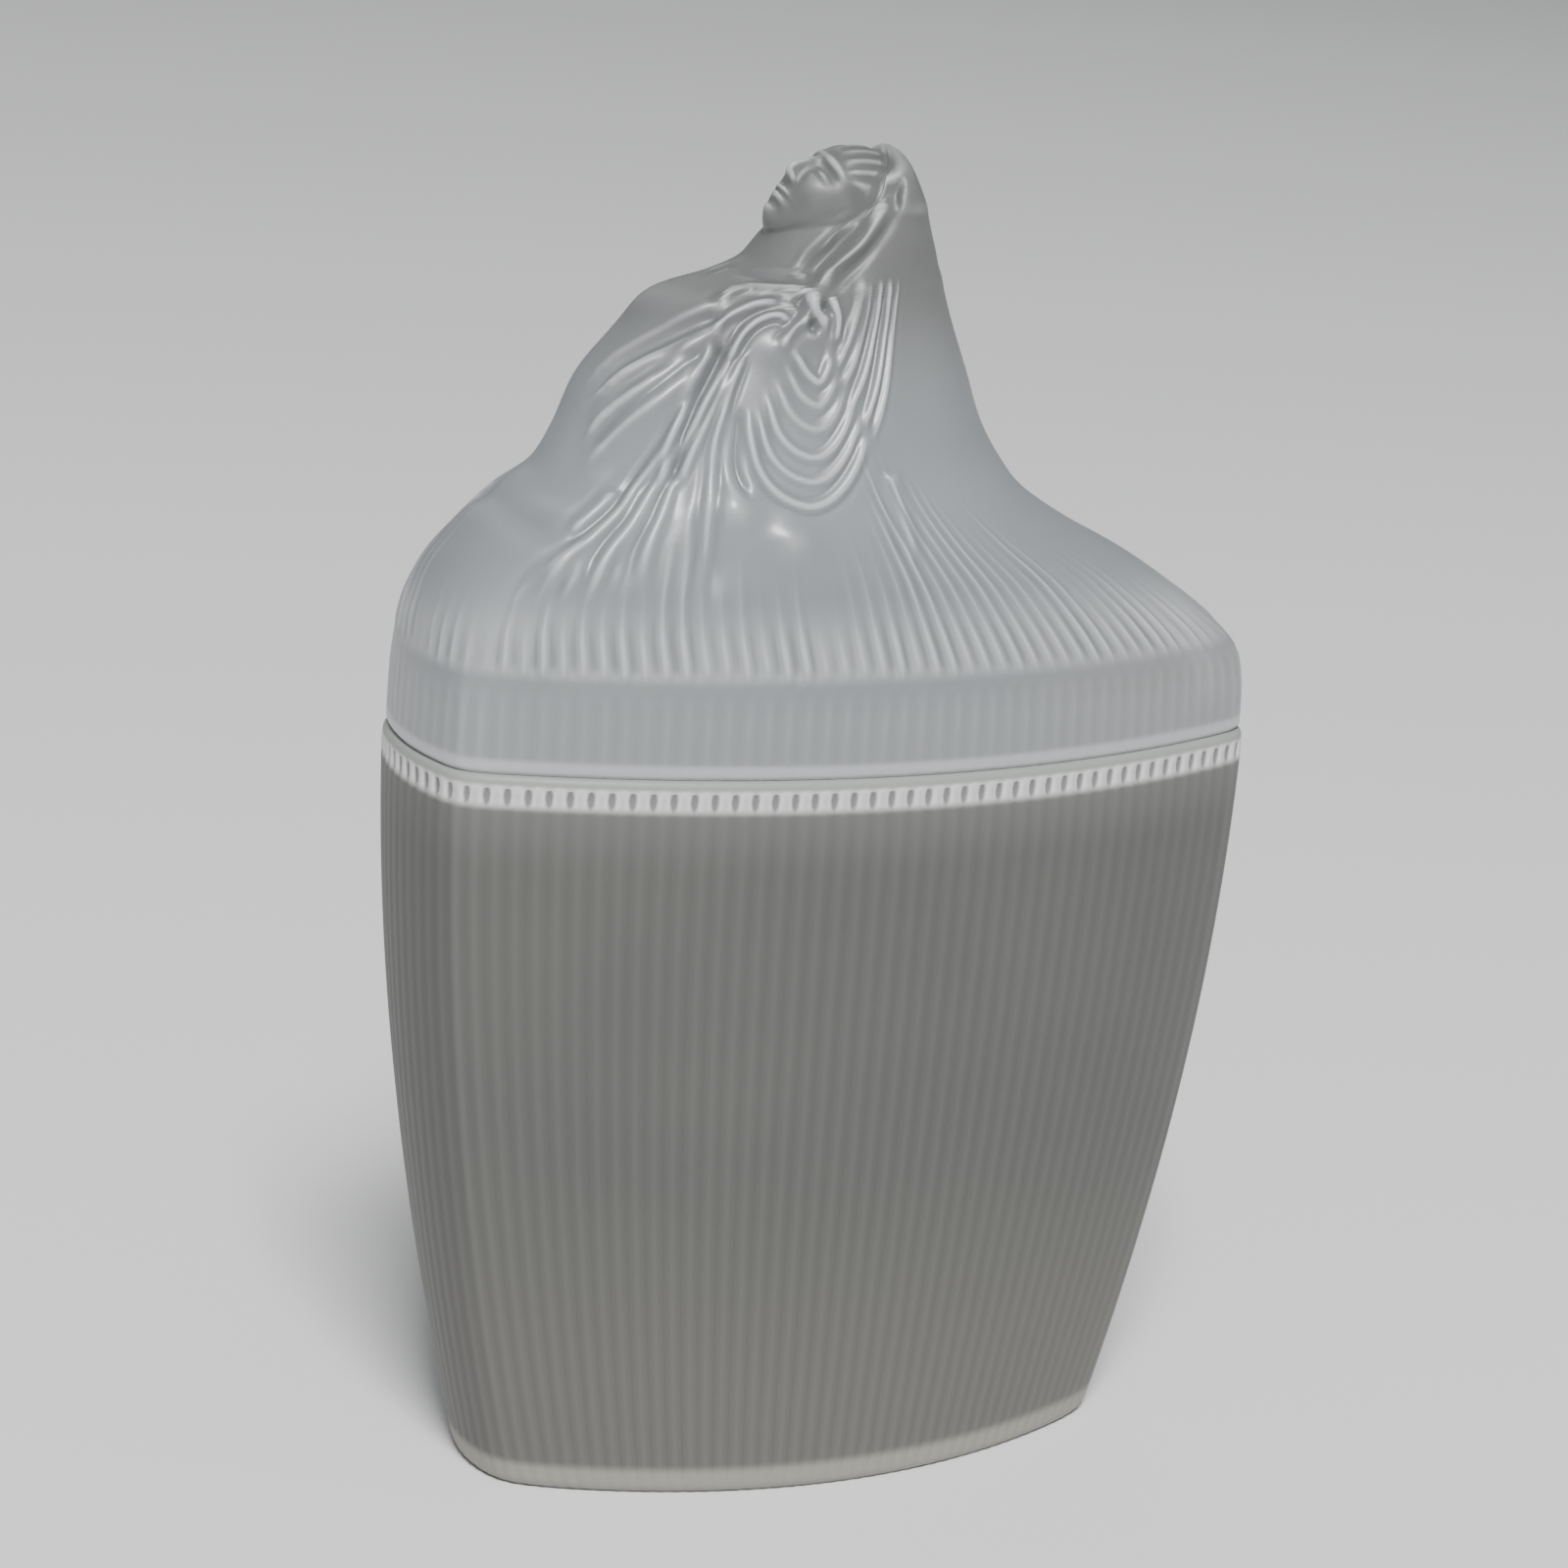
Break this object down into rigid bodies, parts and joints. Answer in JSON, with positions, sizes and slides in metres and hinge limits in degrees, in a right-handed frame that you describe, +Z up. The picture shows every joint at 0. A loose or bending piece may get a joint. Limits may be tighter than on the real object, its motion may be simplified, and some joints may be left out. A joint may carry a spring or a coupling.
{
  "type": "covered glass jar",
  "caption": "Satin glass vanity jar of flat cushion section, with a lift-off lid that rises as pleated drapery to a draped figure.",
  "frame": {"origin": "middle of the jar's foot, on the surface it stands on", "axes": "+Z up; the long side runs along X; the figure's chest faces -Y and its head leans back over -X"},
  "size_m": [0.1, 0.047, 0.1495],
  "materials": {
    "jar_glass": "satin, acid-frosted outside, smooth inside",
    "lid_glass": "satin, acid-frosted"
  },
  "bodies": {
    "jar": {"jar": "jar_glass"},
    "lid": {"lid": "lid_glass"}
  },
  "joints": [
    {"name": "lid_lift", "type": "slide", "parent": "jar", "child": "lid", "axis": [0, 0, 1], "range_m": [0, 0.06]}
  ]
}
